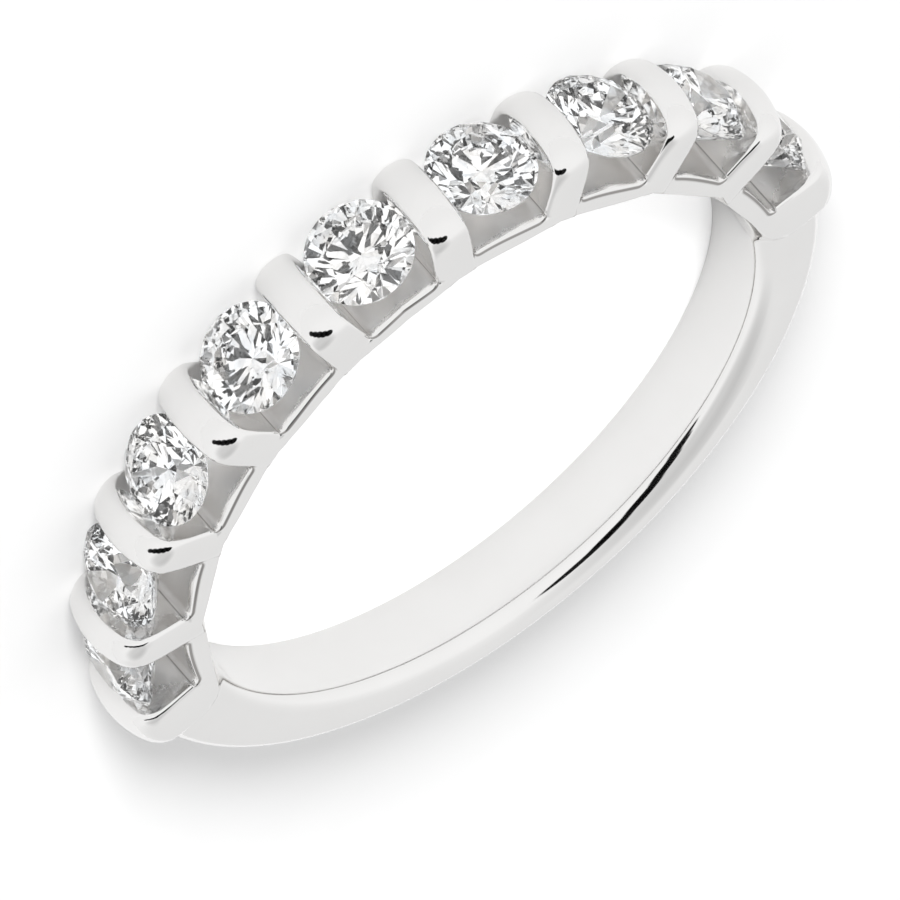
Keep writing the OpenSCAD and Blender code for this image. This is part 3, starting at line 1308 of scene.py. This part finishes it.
@dataclass
class Studio:
    """Floor, soft studio walls, key light and the lamp above the ring."""

    floor_level: float = -1.4
    floor_size: float = 1200.0
    floor_gap: float = 0.002
    paper: PalePaper = PalePaper()
    key_azimuth: float = -3.0
    key_elevation: float = 18.0
    key_spread: float = 15.0
    key_strength: float = 5.5
    fill_height: float = 260.0
    fill_shift: float = -0.5
    fill_reach: float = 10.0
    fill_radius: float = 4.0
    fill_blend: float = 0.25
    fill_strength: float = 0.2
    low_light: float = 0.97
    high_light: float = 1.02
    high_rise: float = 0.9
    patches: tuple[SoftPatch, ...] = (
        SoftPatch(20.0, 86.0, 9.0, 2.0, 0.01),
        SoftPatch(50.0, 73.0, 9.5, 2.0, 0.01),
        SoftPatch(54.0, 59.0, 9.5, 2.0, 0.01),
        SoftPatch(57.0, 45.0, 8.5, 2.0, 0.01),
        SoftPatch(60.0, 32.0, 7.0, 2.0, 0.02),
        SoftPatch(124.0, 61.0, 8.0, 28.0, 0.7),
        SoftPatch(180.0, 32.0, 22.0, 30.0, 0.86),
    )
    stone_patches: tuple[SoftPatch, ...] = (
        SoftPatch(4.7, 25.8, 21.0, 2.0, 0.01),
        SoftPatch(-70.0, 40.0, 14.0, 2.0, 0.01),
        SoftPatch(75.0, 40.0, 14.0, 2.0, 0.01),
        SoftPatch(0.0, 80.0, 16.0, 2.0, 0.01),
        SoftPatch(-35.0, 8.0, 9.0, 2.0, 0.01),
        SoftPatch(45.0, 8.0, 9.0, 2.0, 0.01),
    )
    stone_light: float = 1.3
    all_bounces: int = 24
    mirror_bounces: int = 12
    stone_bounces: int = 20
    mirror_blur: float = 0.3

    def build_floor(self) -> bpy.types.Object:
        """Builds the floor as one large sheet just under the ring.

        Returns:
            The sheet.
        """
        half = self.floor_size / 2
        z = self.floor_level - self.floor_gap
        points = np.array([[-half, -half, z], [half, -half, z], [half, half, z], [-half, half, z]])
        made = new_mesh("floor", points, [(0, 1, 2, 3)], False)
        made.data.materials.append(self.paper.material())
        return made

    def wall_light(
        self, tree: Tree, way: bpy.types.NodeSocket, patches: Sequence[SoftPatch]
    ) -> bpy.types.NodeSocket:
        """Adds the nodes that give the walls' light in every direction.

        The light rises a little from the floor's level to the top. A patch scales it by its own
        value where the angle to its middle is less than its radius, and the change is as wide
        as its softness.

        Args:
            tree: Tree that the nodes go into.
            way: Direction that is looked in.
            patches: Darker patches.

        Returns:
            The light's strength.
        """
        rise = tree.add("ShaderNodeSeparateXYZ", {0: way}).outputs["Z"]
        light = tree.remap(rise, (0.0, self.high_rise), (self.low_light, self.high_light))
        for patch in patches:
            inputs = {0: way, 1: towards(patch.azimuth, patch.elevation)}
            dot = tree.add("ShaderNodeVectorMath", inputs, operation="DOT_PRODUCT")
            outer = math.cos(math.radians(patch.radius + patch.softness))
            inner = math.cos(math.radians(patch.radius))
            part = tree.remap(dot.outputs["Value"], (outer, inner), (1.0, patch.light))
            light = tree.math("MULTIPLY", light, part)
        return light

    def build_walls(self) -> None:
        """Makes the walls' light; light that leaves a stone meets patches of its own."""
        world = bpy.data.worlds.new("studio")
        world.use_nodes = True
        world.node_tree.nodes.clear()
        tree = Tree(world.node_tree)
        way = tree.add("ShaderNodeTexCoord").outputs["Generated"]
        outside = self.wall_light(tree, way, self.patches)
        in_stones = self.wall_light(tree, way, self.stone_patches)
        in_stones = tree.math("MULTIPLY", in_stones, self.stone_light)
        change = tree.math("SUBTRACT", in_stones, outside)
        through = tree.add("ShaderNodeLightPath").outputs["Is Transmission Ray"]
        light = tree.math("ADD", outside, tree.math("MULTIPLY", change, through))
        inputs = {"Color": opaque((1.0, 1.0, 1.0)), "Strength": light}
        background = tree.add("ShaderNodeBackground", inputs)
        tree.add("ShaderNodeOutputWorld", {"Surface": background.outputs[0]})
        bpy.context.scene.world = world

    @staticmethod
    def hang(lamp: bpy.types.Light) -> bpy.types.Object:
        """Puts a lamp into the scene that the metal and the stones don't mirror.

        Args:
            lamp: The lamp.

        Returns:
            Its object, at the origin.
        """
        made = bpy.data.objects.new(lamp.name, lamp)
        bpy.context.scene.collection.objects.link(made)
        made.visible_glossy = False
        made.visible_transmission = False
        return made

    def build_key(self) -> bpy.types.Object:
        """Builds the broad key light.

        Returns:
            The light's object.
        """
        lamp = bpy.data.lights.new("key_light", "SUN")
        lamp.energy = self.key_strength
        lamp.angle = math.radians(self.key_spread)
        made = self.hang(lamp)
        beam = -towards(self.key_azimuth, self.key_elevation)
        made.rotation_mode = "QUATERNION"
        made.rotation_quaternion = beam.to_track_quat("-Z", "Y")
        return made

    def build_fill(self) -> bpy.types.Object:
        """Builds a weak lamp straight above that lights the floor inside the ring.

        Returns:
            The lamp's object.
        """
        lamp = bpy.data.lights.new("hole_fill", "SPOT")
        lamp.energy = self.fill_strength
        lamp.shadow_soft_size = self.fill_radius * MM
        lamp.spot_size = 2.0 * math.atan(self.fill_reach / self.fill_height)
        lamp.spot_blend = self.fill_blend
        made = self.hang(lamp)
        made.location = (0.0, self.fill_shift * MM, self.fill_height * MM)
        return made

    def set_colours(self) -> None:
        """Sets how light becomes picture colours, and how often light may bounce in the stones."""
        scene = bpy.context.scene
        scene.view_settings.view_transform = "Standard"
        scene.cycles.max_bounces = self.all_bounces
        scene.cycles.glossy_bounces = self.mirror_bounces
        scene.cycles.transmission_bounces = self.stone_bounces
        scene.cycles.blur_glossy = self.mirror_blur


@dataclass
class View:
    """Camera at the photograph's angle, rolled so that the row of stones climbs to the right.

    Lengths are in millimetres, but for nearest and farthest, in metres. In its own picture the
    camera is moved left by aim_right and down by aim_up.
    """

    azimuth: float = 4.69
    elevation: float = 25.8
    roll: float = 138.69
    pixels_per_mm: float = 40.225
    picture_width: int = 900
    distance: float = 600.0
    aim_right: float = 0.152
    aim_up: float = 0.828
    sensor: float = 36.0
    nearest: float = 0.01
    farthest: float = 10.0

    def build(self) -> bpy.types.Object:
        """Builds the camera and makes it the scene's.

        Returns:
            The camera's object.
        """
        back = towards(self.azimuth, self.elevation)
        a = math.radians(self.azimuth)
        level = Vector((math.cos(a), math.sin(a), 0.0))
        upright = back.cross(level)
        roll = math.radians(self.roll)
        right = math.cos(roll) * level + math.sin(roll) * upright
        up = -math.sin(roll) * level + math.cos(roll) * upright
        lens = bpy.data.cameras.new("camera")
        lens.sensor_width = self.sensor
        lens.lens = self.pixels_per_mm * self.distance / self.picture_width * self.sensor
        lens.clip_start = self.nearest
        lens.clip_end = self.farthest
        made = bpy.data.objects.new("camera", lens)
        bpy.context.scene.collection.objects.link(made)
        spot = back * self.distance - self.aim_right * right - self.aim_up * up
        turned = Matrix((right, up, back)).transposed().to_4x4()
        made.matrix_world = Matrix.Translation(spot * MM) @ turned
        bpy.context.scene.camera = made
        return made


def main() -> None:
    """Builds and dresses the ring, then its surroundings."""
    logging.basicConfig(level=logging.INFO, format="%(name)s: %(message)s")
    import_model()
    sizes = RingSizes()
    band = Band(sizes)
    surface = band.build()
    band.dress(surface, PolishedMetal())
    log.info("%s: %d faces", surface.name, len(surface.data.polygons))
    stones = CutStone(sizes).build(ClearStone().material(), ClearStone(ground=True).material())
    for stone in stones:
        log.info("%s: %d facets", stone.name, len(stone.data.polygons))
    studio = Studio()
    studio.build_walls()
    studio.set_colours()
    for made in (studio.build_floor(), studio.build_key(), studio.build_fill(), View().build()):
        log.info("%s: built", made.name)


if __name__ == "__main__":
    main()
